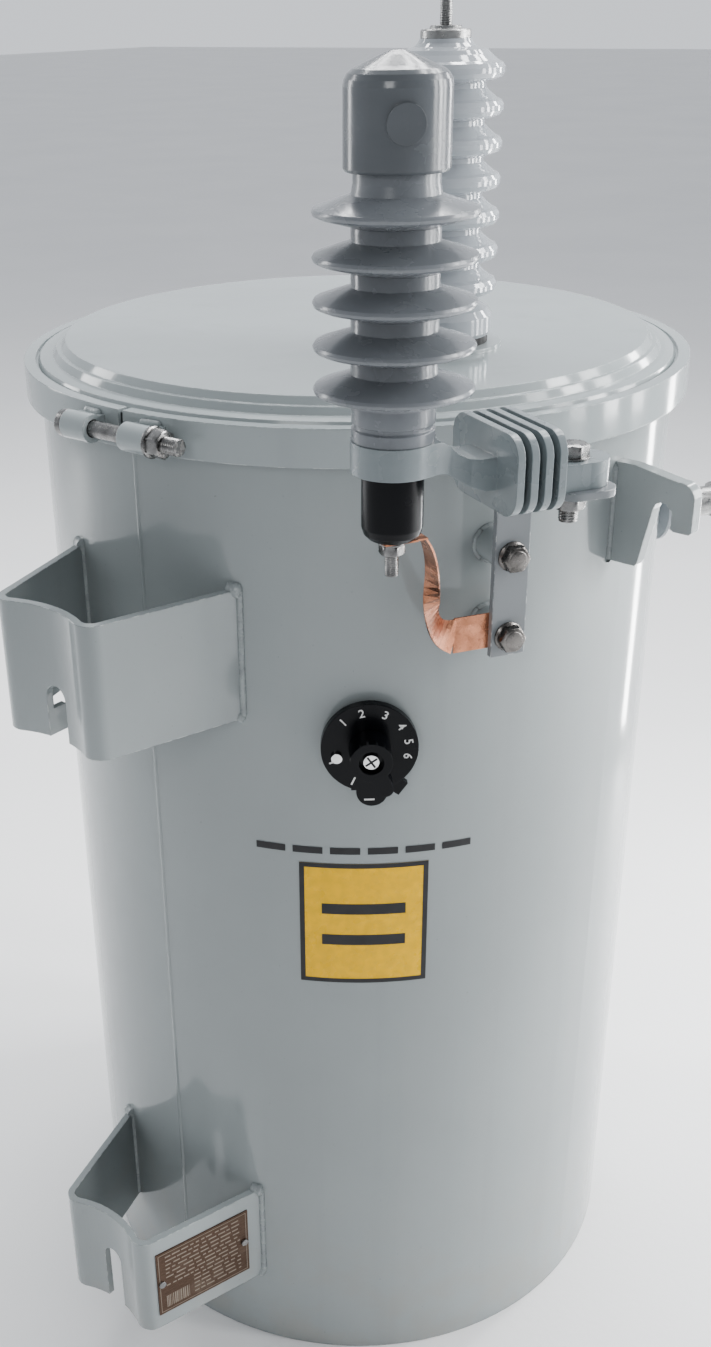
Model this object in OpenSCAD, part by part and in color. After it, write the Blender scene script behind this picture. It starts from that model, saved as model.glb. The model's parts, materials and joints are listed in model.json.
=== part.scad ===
// Pole mounted distribution transformer, single phase, on its own tank bottom.
// Millimetres. +Z up, origin at the centre of the tank's bottom, pole side towards -Y.
// Azimuths are in degrees round the tank from the pole side (-Y), growing towards +X.

/* [Tank] */
// outside diameter of the tank
tank_od = 530; // [420:2:640]
// height of the tank from its bottom to the top of its rolled rim
tank_h = 890; // [720:5:1080]
// steel thickness of the tank wall
wall_t = 3; // [2:0.5:6]
// thickness of the bottom plate
bottom_t = 4; // [3:0.5:8]
// how far the rolled rim stands out from the wall
rim_out = 7; // [5:0.5:12]
// height of the rolled rim
rim_h = 9.5; // [6:0.5:14]

/* [Cover and clamp band] */
// thickness of the gasket between rim and cover
gasket_t = 2; // [1:0.5:4]
// height of the cover's edge bead
cover_edge_h = 10.5; // [8:0.5:16]
// height of the raised middle of the cover over its edge bead
cover_rise = 16.5; // [8:0.5:40]
// sheet thickness of the cover
cover_t = 3; // [2:0.5:5]
// sheet thickness of the clamp band
band_t = 3; // [2:0.5:5]
// gap left in the clamp band at its bolt
band_gap = 5; // [4:1:20]
// azimuth of the clamp bolt
clamp_az = 0.2; // [-20:0.5:20]
// outside diameter of the clamp barrels
barrel_d = 21; // [18:1:30]
// diameter of the clamp bolt
clamp_bolt_d = 12.7; // [10:0.1:16]

/* [Pole hangers] */
// distance from the tank's rim down to the upper hanger's top edge
hanger_drop = 111; // [60:1:200]
// height of each hanger
hanger_h = 106; // [80:1:140]
// height of the lower hanger's bottom edge over the ground
hanger_base_z = 82; // [40:1:160]
// plate thickness of the hangers
hanger_t = 6; // [4:0.5:8]
// distance from the tank wall to the middle of the pole face
hanger_reach = 96; // [80:1:140]
// radius of the hollow pole face
pole_face_r = 85; // [70:1:180]
// outside radius of the two horns beside the pole face
horn_r = 14; // [11:0.5:18]
// half the distance between the horns
horn_x = 40; // [30:1:60]
// angle of the hanger's side walls
splay = 16.7; // [8:0.1:24]
// width of the bolt slots
slot_w = 20.6; // [16:0.1:24]
// height of the upper hanger's slot
upper_slot_h = 44; // [30:1:60]
// height of the lower hanger's slot
lower_slot_h = 64; // [30:1:80]

/* [Nameplate] */
// length of the nameplate
plate_l = 96; // [60:1:100]
// height of the nameplate
plate_h = 74; // [40:1:90]
// thickness of the nameplate
plate_t = 1; // [0.6:0.1:2]

/* [Lifting lugs] */
// azimuth of the lug from the pole side, the other one opposite it
lug_az = 86.5; // [70:0.5:100]
// height of the lug's welded leg
lug_h = 78; // [50:1:110]
// how far the lug stands out from the tank
lug_out = 67; // [56:1:80]
// thickness of the lug
lug_t = 11; // [8:0.5:16]
// distance from the tank's rim down to the lug's top
lug_drop = 38; // [26:1:200]

/* [High voltage bushing] */
// distance of the bushing from the tank's centre line
hv_r = 100.5; // [0:1:150]
// azimuth of the bushing
hv_az = 79; // [40:1:140]
// radius of the porcelain sheds
hv_shed_r = 44.5; // [34:0.5:50]
// radius of the porcelain core
hv_core_r = 31; // [20:0.5:33]
// number of sheds
hv_sheds = 7; // [3:1:9]
// distance between sheds
hv_shed_pitch = 25.4; // [18:0.1:34]
// diameter of the terminal stud
hv_stud_d = 8.5; // [6:0.5:20]

/* [Surge arrester] */
// distance of the arrester from the tank's centre line
arrester_r = 410; // [360:1:460]
// azimuth of the arrester
arrester_az = 40.65; // [34:0.1:44]
// height of the arrester's hub over the tank's rim
hub_rise = 15; // [-200:1:60]
// radius of the polymer sheds
arrester_shed_r = 46.6; // [36:0.1:56]
// radius of the polymer core
arrester_core_r = 25; // [18:0.5:30]
// number of sheds
arrester_sheds = 5; // [3:1:8]
// distance between sheds
arrester_shed_pitch = 24.2; // [20:0.1:36]
// azimuth of the arrester's bracket
bracket_az = 59.5; // [55:0.1:64]
// width of the bracket strap
bracket_w = 27; // [20:1:36]
// thickness of the bracket strap
bracket_t = 5; // [4:0.5:8]
// length of the two bosses that hold the strap off the tank
boss_l = 27; // [20:1:40]
// distance between the strap's two bolts
strap_bolt_pitch = 61; // [50:1:80]
// thickness of the insulating arm's tongue
tongue_t = 17; // [12:0.5:22]
// thickness of the copper ground strap
copper_t = 1.2; // [0.8:0.1:2]

/* [Tap changer] */
// azimuth of the tap changer
tap_az = 40; // [34:0.5:50]
// distance from the tank's rim down to the tap changer
tap_drop = 230; // [190:1:400]
// radius of the dial
dial_r = 37; // [28:0.5:45]
// thickness of the dial
dial_t = 7; // [5:0.5:10]
// radius of the handle's hub
knob_r = 16; // [12:0.5:20]
// how far the handle stands out from the dial
knob_l = 24; // [16:1:36]
// length of the handle's finger from the axis
finger_l = 31; // [24:1:36]

/* [Low voltage bushings] */
// distance from the tank's rim down to the low voltage bushings
lv_drop = 163; // [100:1:400]
// angle between neighbouring low voltage bushings
lv_step = 35; // [28:1:45]
// radius of the low voltage bushings at the tank
lv_r = 30; // [22:0.5:36]
// length of the low voltage bushings
lv_l = 62; // [40:1:80]
// diameter of the low voltage studs
lv_stud_d = 16; // [12:0.5:24]
// radius of the cable eye in each low voltage connector
eye_r = 10; // [6:0.5:13]

/* [Hidden] */
// names of the sub-parts

$fn = 64;
// outside radius of the tank
tank_r = tank_od / 2;
// levels over the ground: arrester hub, lug tops, tap changer, low voltage bushings, upper hanger
hub_z = tank_h + hub_rise;
lug_top_z = tank_h - lug_drop;
tap_z = tank_h - tap_drop;
lv_z = tank_h - lv_drop;
upper_base_z = tank_h - hanger_drop - hanger_h;
// clearance between a bolt and its hole
bolt_clear = 0.3;
// clearance between turning pieces
run_clear = 0.4;
// level of the cover's underside bead
cover_z = tank_h + gasket_t;
// level of the top of the cover's edge bead
bead_z = cover_z + cover_edge_h;
// level of the cover's flat top
cover_top_z = bead_z + cover_rise;
// outside radius of the rim and of the cover's bead
rim_r = tank_r + rim_out;
// inside radius of the clamp band's upright
band_ri = rim_r + 2;
// outside radius of the clamp band
band_ro = band_ri + band_t;
// inside radius of the clamp band's two lips
lip_r = rim_r - 4.5;
// lower and upper faces of the clamp band
band_lo = tank_h - rim_h - band_t;
band_hi = bead_z + band_t;
// distance of the clamp bolt from the tank's centre line and its level
clamp_r = band_ro + barrel_d / 2 + 1;
clamp_z = (band_lo + band_hi) / 2;
// half of the bare length of bolt between the barrels, and the barrels' length
clamp_half = 17;
barrel_l = 25;
// distance of the bolt's threaded end from the middle of the gap
bolt_end = clamp_half + barrel_l + 27;

// places children at an azimuth and height, +X pointing out from the tank's centre line
module at(az, z = 0) {
    rotate([0, 0, az - 90]) translate([0, 0, z]) children();
}

// a cylinder along +X from x0 to x1
module rod_x(r, x0, x1, fn = 64) {
    translate([x0, 0, 0]) rotate([0, 90, 0]) cylinder(r = r, h = x1 - x0, $fn = fn);
}

// a hexagonal bar along +X from x0 to x1, by its width across flats
module hex_x(af, x0, x1) {
    translate([x0, 0, 0]) rotate([0, 90, 0]) cylinder(d = af / cos(30), h = x1 - x0, $fn = 6);
}

// a hexagonal bar along +Z
module hex_z(af, z0, z1) {
    translate([0, 0, z0]) cylinder(d = af / cos(30), h = z1 - z0, $fn = 6);
}

// a block given by its two corners
module block(lo, hi) {
    translate(lo) cube([hi[0] - lo[0], hi[1] - lo[1], hi[2] - lo[2]]);
}

// everything inside the tank's outer face, for shaping what is welded to it
module tank_core() {
    translate([0, 0, -50]) cylinder(r = tank_r, h = tank_h + 100, $fn = 360);
}

// ---------------------------------------------------------------- tank

// the shell with its rolled rim
module tank_wall() {
    color([0.62, 0.65, 0.66]) rotate_extrude($fn = 96)
        polygon([[tank_r - wall_t, 0], [tank_r, 0], [tank_r, tank_h - rim_h],
                 [rim_r, tank_h - rim_h], [rim_r, tank_h], [tank_r - wall_t, tank_h]]);
}

// the flat bottom inside the shell
module tank_bottom() {
    color([0.6, 0.63, 0.64]) cylinder(r = tank_r - wall_t, h = bottom_t, $fn = 96);
}

// the core, windings and oil as one filling, up to the oil level
module core_and_oil() {
    color([0.45, 0.36, 0.2]) translate([0, 0, bottom_t])
        cylinder(r = tank_r - wall_t, h = tank_h - 60 - bottom_t, $fn = 96);
}

// the weld bead down the pole side of the shell
module vertical_seam() {
    color([0.62, 0.65, 0.66]) difference() {
        translate([0, -tank_r + 1, 6]) cylinder(r = 3.2, h = tank_h - rim_h - 12, $fn = 24);
        tank_core();
    }
}

// ---------------------------------------------------------------- cover and clamp band

// the pressed cover: edge bead, two steps and the raised middle with its bushing pad
module cover() {
    edge = rim_r - 14;
    step = cover_rise / 3;
    color([0.72, 0.75, 0.77]) union() {
        rotate_extrude($fn = 96)
            polygon([[0, cover_top_z - cover_t], [edge - 18, cover_top_z - cover_t],
                     [edge - 12, bead_z + step - cover_t + 1], [edge, bead_z - cover_t],
                     [edge, cover_z], [rim_r, cover_z], [rim_r, bead_z],
                     [edge + 7.5, bead_z], [edge + 5.5, bead_z + step * 0.8],
                     [edge - 1, bead_z + step], [edge - 5, bead_z + step],
                     [edge - 8.5, bead_z + step * 2], [edge - 12, bead_z + step * 2],
                     [edge - 16, cover_top_z], [0, cover_top_z]]);
        on_pad(cover_top_z) cylinder(r = 50, h = 3);
    }
}

// the ring gasket under the cover
module cover_gasket() {
    color([0.1, 0.1, 0.1]) difference() {
        translate([0, 0, tank_h]) cylinder(r = rim_r - 1, h = gasket_t, $fn = 96);
        translate([0, 0, tank_h - 1]) cylinder(r = tank_r - wall_t + 1, h = gasket_t + 2, $fn = 96);
    }
}

// the channel shaped ring that clamps cover and rim, with its gap
module clamp_band() {
    color([0.66, 0.69, 0.71]) difference() {
        rotate_extrude($fn = 96)
            polygon([[lip_r, band_lo], [band_ro, band_lo], [band_ro, band_hi], [lip_r, band_hi],
                     [lip_r, band_hi - band_t], [band_ri, band_hi - band_t],
                     [band_ri, band_lo + band_t], [lip_r, band_lo + band_t]]);
        at(clamp_az) block([tank_r - 5, -band_gap / 2, band_lo - 1], [band_ro + 5, band_gap / 2, band_hi + 1]);
    }
}

// one barrel with its saddle, from y0 to y1 along the bolt
module clamp_barrel(y0, y1) {
    at(clamp_az, clamp_z) difference() {
        union() {
            translate([clamp_r, y1, 0]) rotate([90, 0, 0]) cylinder(d = barrel_d, h = y1 - y0, $fn = 48);
            block([band_ro - 8, y0, -8], [clamp_r, y1, 8]);
        }
        translate([clamp_r, y1 + 1, 0]) rotate([90, 0, 0])
            cylinder(r = clamp_bolt_d / 2 + bolt_clear, h = y1 - y0 + 2, $fn = 48);
        translate([0, 0, -20]) cylinder(r = band_ro, h = 40, $fn = 360);
    }
}

// the two barrels welded to the ends of the band
module clamp_barrels() {
    color([0.66, 0.69, 0.71]) union() {
        clamp_barrel(-clamp_half - barrel_l, -clamp_half);
        clamp_barrel(clamp_half, clamp_half + barrel_l);
    }
}

// the round headed bolt through both barrels
module clamp_bolt() {
    color([0.75, 0.76, 0.77]) at(clamp_az, clamp_z) translate([clamp_r, 0, 0]) union() {
        translate([0, bolt_end, 0]) rotate([90, 0, 0]) cylinder(d = clamp_bolt_d, h = bolt_end + clamp_half + barrel_l);
        translate([0, -clamp_half - barrel_l, 0]) rotate([90, 0, 0]) cylinder(d = 21, h = 7);
    }
}

// the washer and nut that draw the band tight
module clamp_nut() {
    y0 = clamp_half + barrel_l;
    color([0.75, 0.76, 0.77]) at(clamp_az, clamp_z) translate([clamp_r, 0, 0]) difference() {
        union() {
            translate([0, y0 + 2.5, 0]) rotate([90, 0, 0]) cylinder(d = 23, h = 2.5);
            translate([0, y0 + 13.5, 0]) rotate([90, 0, 0]) cylinder(d = 19 / cos(30), h = 11, $fn = 6);
        }
        translate([0, y0 + 20, 0]) rotate([90, 0, 0]) cylinder(r = clamp_bolt_d / 2 + 0.05, h = 30);
    }
}

// ---------------------------------------------------------------- pole hangers

// centre of the pole that the hollow face fits, and of one horn
face_y = -tank_r - hanger_reach;
pole_y = face_y - pole_face_r;
horn_lean = asin(horn_x / (pole_face_r + horn_r));
horn_y = pole_y + (pole_face_r + horn_r) * cos(horn_lean);
// length of the side walls before they meet the tank
side_l = hanger_reach + 60;

// right half of one face of the hanger's plate, from the tank round the horn to the middle of the pole face
function half_face(r_horn, r_pole) =
    let (c = [horn_x, horn_y], p = [0, pole_y], n = [cos(splay), -sin(splay)], w = [sin(splay), cos(splay)])
    concat([c + r_horn * n + side_l * w],
           [for (i = [0 : 14]) let (a = -splay - i / 14 * (90 + horn_lean - splay)) c + r_horn * [cos(a), sin(a)]],
           [for (i = [1 : 9]) let (a = 90 - horn_lean + horn_lean * i / 9) p + r_pole * [cos(a), sin(a)]]);

// the same face from the right end to the left end
function full_face(r_horn, r_pole) =
    let (h = half_face(r_horn, r_pole), n = len(h))
    concat(h, [for (i = [2 : n]) [-h[n - i][0], h[n - i][1]]]);

// plan of a hanger
module hanger_plan() {
    outer = full_face(horn_r, pole_face_r);
    inner = full_face(horn_r - hanger_t, pole_face_r + hanger_t);
    n = len(inner);
    polygon(concat(outer, [for (i = [1 : n]) inner[n - i]]));
}

// a hanger from its bottom edge at z0, with an open slot of the given height
module hanger(z0, slot_h) {
    difference() {
        translate([0, 0, z0]) linear_extrude(hanger_h) hanger_plan();
        tank_core();
        block([-slot_w / 2, face_y - 10, z0 - 1], [slot_w / 2, face_y + hanger_t + 6, z0 + slot_h - slot_w / 2]);
        translate([0, face_y - 10, z0 + slot_h - slot_w / 2]) rotate([-90, 0, 0])
            cylinder(d = slot_w, h = hanger_t + 16, $fn = 48);
    }
}

// the upper hanger, with the tab that keeps it from jumping off its bolt
module upper_hanger() {
    z0 = upper_base_z;
    color([0.64, 0.67, 0.68]) union() {
        hanger(z0, upper_slot_h);
        block([-slot_w / 2 - 5, face_y + hanger_t - 1.2, z0], [-slot_w / 2, face_y + hanger_t + 11, z0 + 21]);
    }
}

// the lower hanger
module lower_hanger() {
    color([0.64, 0.67, 0.68]) hanger(hanger_base_z, lower_slot_h);
}

// places children on the outside of the lower hanger's right wall, +X out and +Y back to the tank
module on_side_wall() {
    translate([horn_x, horn_y, hanger_base_z + hanger_h / 2]) rotate([0, 0, -splay])
        translate([horn_r, 0, 0]) children();
}

// the etched plate
module nameplate() {
    color([0.42, 0.3, 0.22]) on_side_wall() difference() {
        block([0, 1, -plate_h / 2], [plate_t, 1 + plate_l, plate_h / 2]);
        translate([0, 5.5, 0]) rod_x(2, -1, plate_t + 1, 24);
        translate([0, plate_l - 3.5, 0]) rod_x(2, -1, plate_t + 1, 24);
    }
}

// the two rivets
module nameplate_rivets() {
    color([0.7, 0.7, 0.7]) on_side_wall() union() {
        for (y = [5.5, plate_l - 3.5]) translate([0, y, 0]) union() {
            rod_x(1.9, 0, plate_t + 0.5, 24);
            rod_x(3.5, plate_t, plate_t + 1.6, 24);
        }
    }
}

// ---------------------------------------------------------------- lifting lugs

// a flat hook welded edge-on to the shell
module lifting_lug(az) {
    color([0.64, 0.67, 0.68]) at(az, lug_top_z) difference() {
        translate([tank_r - 4, lug_t / 2, 0]) rotate([90, 0, 0]) linear_extrude(lug_t) union() {
            polygon([[0, -lug_h], [27, -lug_h], [29, -lug_h + 3], [38, -31], [40, -26], [44, -24], [49, -24],
                     [53, -26], [54, -31], [54, -42], [56, -44], [lug_out + 2, -44], [lug_out + 4, -42],
                     [lug_out + 4, -16], [lug_out - 4, -7], [20, 0], [0, 0]]);
            translate([lug_out - 8, -18]) circle(r = 12);
        }
        translate([0, 0, -lug_h - 20]) cylinder(r = tank_r, h = lug_h + 40, $fn = 360);
    }
}

module lifting_lug_right() {
    lifting_lug(lug_az);
}

module lifting_lug_left() {
    lifting_lug(-lug_az);
}

// ---------------------------------------------------------------- high voltage bushing

// level of the bushing pad's top
hv_pad_z = cover_top_z + 3;
// thickness of the bushing's gasket
hv_gasket_t = 6;
// level of the bushing's foot and of its top
hv_foot_z = hv_pad_z + hv_gasket_t;
hv_shed0_z = hv_foot_z + 38;
hv_top_z = hv_shed0_z + (hv_sheds - 1) * hv_shed_pitch + 20.5;
// height of the terminal cap and of the stud above it
hv_cap_h = 8.5;
hv_stud_h = 24;

// places children on the bushing's axis at a level
module on_pad(z) {
    at(hv_az, z) translate([hv_r, 0, 0]) children();
}

module hv_gasket() {
    color([0.08, 0.08, 0.08]) on_pad(hv_pad_z) cylinder(r = 39, h = hv_gasket_t);
}

// outline of one shed round a core, its rim at level z
function shed(z, core, rim) = [[core, z - 8], [rim - 3, z - 3], [rim - 0.6, z - 1.8], [rim, z],
                               [rim - 1, z + 1.6], [core, z + 8.5]];

// outline of one thick porcelain shed with a round rim at level z
function thick_shed(z) =
    let (nose = 6.5, tilt = 8)
    concat([[hv_core_r, z - 9]],
           [for (a = [-80 : 32 : 80]) [hv_shed_r - nose + nose * cos(a), z - 0.5 + nose * sin(a)]],
           [[hv_core_r + 3, z + tilt + 2], [hv_core_r, z + tilt + 5]]);

// porcelain: foot, sheds and neck
module hv_bushing() {
    sheds = [for (i = [0 : hv_sheds - 1]) each thick_shed(hv_shed0_z + i * hv_shed_pitch)];
    color([0.8, 0.81, 0.82]) on_pad(0) rotate_extrude($fn = 48)
        polygon(concat([[0, hv_foot_z], [40, hv_foot_z], [42, hv_foot_z + 3], [42, hv_foot_z + 15],
                        [38, hv_foot_z + 20], [hv_core_r, hv_foot_z + 24]],
                       sheds, [[23.5, hv_top_z - 5.5], [20.5, hv_top_z - 3], [19, hv_top_z], [0, hv_top_z]]));
}

module hv_terminal_cap() {
    color([0.72, 0.73, 0.74]) on_pad(hv_top_z) rotate_extrude($fn = 48)
        polygon([[0, 0], [18.5, 0], [18.5, 5], [17.5, 6], [12, 6.5], [11, hv_cap_h], [0, hv_cap_h]]);
}

module hv_terminal_stud() {
    color([0.75, 0.76, 0.76]) on_pad(hv_top_z + hv_cap_h) cylinder(d = hv_stud_d, h = hv_stud_h, $fn = 48);
}

// ---------------------------------------------------------------- surge arrester

// places children on the arrester's axis, +X running along its arm towards the bracket bolt
bolt_r = arrester_r - 27;
// how far the bolt stands to the arrester's side of the bracket's middle
bolt_off = 9;
ax = arrester_r * sin(arrester_az);
ay = -arrester_r * cos(arrester_az);
bx = bolt_r * sin(bracket_az) - bolt_off * cos(bracket_az);
by = -bolt_r * cos(bracket_az) - bolt_off * sin(bracket_az);
arm_dir = atan2(by - ay, bx - ax);
arm_l = sqrt((bx - ax) * (bx - ax) + (by - ay) * (by - ay));
module on_arrester() {
    translate([ax, ay, hub_z]) rotate([0, 0, arm_dir]) children();
}
// levels over the hub's underside
collar_top = 54;
shed0_h = 61.4;
housing_top = shed0_h + (arrester_sheds - 1) * arrester_shed_pitch + 20.3;
// underside and top of the hub, and underside of the disconnector
hub_lo = 12;
hub_hi = 31;
drop = -31;
// underside of the tongue
tongue_z = -13;

// the polymer body: collar and sheds
module arrester_housing() {
    sheds = [for (i = [0 : arrester_sheds - 1])
             each shed(shed0_h + i * arrester_shed_pitch, arrester_core_r, arrester_shed_r)];
    color([0.55, 0.57, 0.59]) on_arrester() rotate_extrude($fn = 48)
        polygon(concat([[0, hub_hi], [24.6, hub_hi], [24.6, 38], [23.2, 39], [23.2, 41], [24.6, 42], [24.6, 52]],
                       sheds, [[24, housing_top - 6], [24, housing_top], [0, housing_top]]));
}

// the domed wildlife cap, with a round knock-out towards the open side
module arrester_cap() {
    r = 29.3;
    color([0.5, 0.52, 0.54]) on_arrester() translate([0, 0, housing_top]) union() {
        rotate_extrude($fn = 48)
            polygon([[0, 0], [r - 1, 0], [r, 1.5], [r, 42], [r - 0.6, 45.3], [r - 2.2, 48.2], [r - 4.9, 50.3],
                     [r - 9, 52], [9, 57], [4, 59], [0, 59.6]]);
        translate([0, 0, 25]) rotate([0, 0, -107]) rod_x(10.5, 12, r + 1.2, 48);
    }
}

// a rounded fin across the arm, centred on the arm at distance x
module arm_fin(x) {
    w = 80;
    h = 50;
    r = 14;
    translate([x - 2.5, 0, tongue_z + tongue_t / 2 + 12.5]) rotate([90, 0, 90]) linear_extrude(5) union() {
        square([w - 2 * r, h], center = true);
        square([w, h - 2 * r], center = true);
        for (a = [-1, 1]) for (b = [-1, 1]) translate([a * (w / 2 - r), b * (h / 2 - r)]) circle(r = r, $fn = 32);
    }
}

// the neck: the hub's full width and height, narrowing and sloping down to the bar
module arm_neck() {
    intersection() {
        translate([0, 30, 0]) rotate([90, 0, 0]) linear_extrude(60)
            polygon([[0, hub_lo], [0, hub_hi], [22, hub_hi], [28, hub_hi - 3.5], [34, 21.5], [42, 17.5], [50, 16],
                     [arm_l - 25, 16], [arm_l - 25, -4], [54, -4], [44, 0], [26, hub_lo - 1], [22, hub_lo]]);
        translate([0, 0, -10]) linear_extrude(60)
            polygon([[0, -25], [8, -24], [18, -20.5], [30, -17.6], [44, -16], [arm_l - 25, -16],
                     [arm_l - 25, 16], [44, 16], [30, 17.6], [18, 20.5], [8, 24], [0, 25]]);
    }
}

// the insulating arm: hub, finned bar and tongue
module arrester_arm() {
    color([0.55, 0.57, 0.59]) on_arrester() difference() {
        union() {
            translate([0, 0, hub_lo]) cylinder(r = 25.4, h = hub_hi - hub_lo);
            arm_neck();
            block([arm_l - 55, -16, tongue_z], [arm_l + 8, 16, tongue_z + tongue_t]);
            translate([arm_l + 8, 0, tongue_z]) cylinder(r = 16.5, h = tongue_t);
            for (i = [0 : 3]) arm_fin(arm_l - 60 + i * 9.5);
        }
        translate([arm_l, 0, tongue_z - 1]) cylinder(r = 6.35 + bolt_clear, h = tongue_t + 2);
    }
}

// the disconnector under the hub
module ground_lead_disconnector() {
    color([0.07, 0.07, 0.07]) on_arrester() rotate_extrude($fn = 48)
        polygon([[0, hub_lo], [18.7, hub_lo], [18.7, drop + 9], [17.4, drop + 4.6],
                 [14.6, drop + 1.6], [11, drop], [0, drop]]);
}

// its stud and nut
module disconnector_stud() {
    color([0.72, 0.73, 0.74]) on_arrester() union() {
        translate([0, 0, drop - 23]) cylinder(r = 4, h = 23, $fn = 24);
        hex_z(14, drop - copper_t - 7.5, drop - copper_t);
    }
}

// distance of the strap's inner and outer face from the tank's centre line
strap_ri = tank_r + boss_l;
strap_ro = strap_ri + bracket_t;
// level of the leg's top face, and of the strap's two bolts and its lower end
leg_z = hub_z + tongue_z;
strap_hi_z = leg_z - 79;
strap_lo_z = strap_hi_z - strap_bolt_pitch;
strap_end_z = strap_lo_z - 15;

// the strap with its leg turned out under the arm
module arrester_bracket() {
    w = bracket_w / 2;
    color([0.74, 0.75, 0.76]) at(bracket_az) difference() {
        union() {
            block([strap_ri, -w, strap_end_z], [strap_ro, w, leg_z]);
            block([strap_ri, -w - 10.5, leg_z - bracket_t], [bolt_r + 9.5, w + 2.5, leg_z]);
            block([bolt_r, -w + 1.5, leg_z - bracket_t], [bolt_r + 21.5, w - 9.5, leg_z]);
            for (y = [-w + 1.5, w - 9.5])
                translate([bolt_r + 9.5, y, leg_z - bracket_t]) cylinder(r = 12, h = bracket_t, $fn = 48);
        }
        translate([bolt_r, -bolt_off, leg_z - bracket_t - 1]) cylinder(r = 6.35 + bolt_clear, h = bracket_t + 2);
        for (z = [strap_hi_z, strap_lo_z])
            translate([0, 0, z]) rod_x(6.35 + bolt_clear, strap_ri - 1, strap_ro + 1, 48);
    }
}

// the two welded bosses
module bracket_bosses() {
    color([0.64, 0.67, 0.68]) at(bracket_az) difference() {
        union() {
            translate([0, 0, strap_hi_z]) rod_x(13, tank_r - 6, strap_ri);
            translate([0, 0, strap_lo_z]) rod_x(13, tank_r - 6, strap_ri - copper_t);
        }
        translate([0, 0, strap_end_z - 50]) cylinder(r = tank_r, h = 250, $fn = 360);
        for (z = [strap_hi_z, strap_lo_z]) translate([0, 0, z]) rod_x(6.35 + bolt_clear, tank_r + 1, strap_ri + 1, 48);
    }
}

// the flanged hexagon bolts in the bosses
module bracket_bolts() {
    color([0.6, 0.6, 0.6]) at(bracket_az) union() {
        for (z = [strap_hi_z, strap_lo_z]) translate([0, 0, z]) union() {
            rod_x(6.35, tank_r + 6, strap_ro + 1);
            rod_x(11, strap_ro, strap_ro + 2.5);
            hex_x(18, strap_ro + 2, strap_ro + 10);
        }
    }
}

// the bolt and nut through tongue and leg
module arrester_bolt() {
    top = leg_z + tongue_t;
    color([0.7, 0.7, 0.7]) at(bracket_az) translate([bolt_r, -bolt_off, 0]) union() {
        translate([0, 0, leg_z - bracket_t - 19]) cylinder(r = 6.35, h = tongue_t + bracket_t + 20);
        translate([0, 0, top]) cylinder(r = 11, h = 1.5);
        hex_z(18, top + 1, top + 9);
        hex_z(18, leg_z - bracket_t - 11, leg_z - bracket_t);
    }
}

// where the copper strap turns down beside the disconnector, and where it lies flat behind the bracket
turn = 20;
flat_l = 40;
p_top = [ax + turn * cos(arm_dir), ay + turn * sin(arm_dir), hub_z + drop - copper_t / 2];
back_r = strap_ri - copper_t / 2;
p_end = [back_r * sin(bracket_az) - flat_l * cos(bracket_az),
         -back_r * cos(bracket_az) - flat_l * sin(bracket_az), strap_lo_z + 4.5];
// guide points of the curve between them
g_top = p_top + [20 * cos(arm_dir), 20 * sin(arm_dir), -28];
g_end = p_end + 12 * [sin(bracket_az), -cos(bracket_az), 0]
        - [40 * cos(bracket_az), 40 * sin(bracket_az), -12];
// the strap's width direction at both ends
w_top = [-sin(arm_dir), cos(arm_dir), 0];
w_end = [0, 0, -1];
steps = 20;

function unit(v) = v / norm(v);
function curve(t) = (1 - t) * (1 - t) * (1 - t) * p_top + 3 * t * (1 - t) * (1 - t) * g_top
                    + 3 * t * t * (1 - t) * g_end + t * t * t * p_end;
function slope(t) = unit(curve(min(t + 0.01, 1)) - curve(max(t - 0.01, 0)));
function across(t) = let (w = (1 - t) * w_top + t * w_end) unit(w - (w * slope(t)) * slope(t));
function side(t) = unit(cross(slope(t), across(t)));
function ring4(t) = let (c = curve(t), u = across(t) * (6.5 - 3 * t + 10 * pow(t, 4)), n = side(t) * copper_t / 2)
                    [c + u + n, c - u + n, c - u - n, c + u - n];

// the twisted run of the copper strap
module strap_run() {
    points = [for (i = [0 : steps]) each ring4(i / steps)];
    sides = [for (i = [0 : steps - 1]) for (j = [0 : 3])
             let (a = 4 * i + j, b = 4 * i + (j + 1) % 4) each [[a, b + 4, b], [a, a + 4, b + 4]]];
    last = 4 * steps;
    polyhedron(points, concat(sides, [[0, 1, 2], [0, 2, 3], [last, last + 2, last + 1], [last, last + 3, last + 2]]));
}

// the copper strap from the disconnector's stud to the back of the bracket's lower bolt
module ground_strap() {
    color([0.72, 0.42, 0.3]) union() {
        strap_run();
        on_arrester() difference() {
            union() {
                block([-8, -8, drop - copper_t], [turn - 6, 8, drop]);
                block([-8, -7, drop - copper_t], [turn + 1, 7, drop]);
            }
            translate([0, 0, drop - 4]) cylinder(r = 4 + bolt_clear, h = 6, $fn = 24);
        }
        at(bracket_az, strap_lo_z) difference() {
            block([strap_ri - copper_t, -flat_l - 1, -9], [strap_ri, 11, 18]);
            rod_x(6.35 + bolt_clear, strap_ri - 3, strap_ri + 1, 48);
        }
    }
}

// ---------------------------------------------------------------- tap changer

// distance of the dial's back and front from the tank's centre line
dial_x = tank_r + 4;
dial_front = dial_x + dial_t;

module on_tap() {
    at(tap_az, tap_z) children();
}

module tap_gasket() {
    color([0.1, 0.1, 0.1]) difference() {
        on_tap() rod_x(dial_r - 3, tank_r - 8, dial_x);
        tank_core();
    }
}

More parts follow.
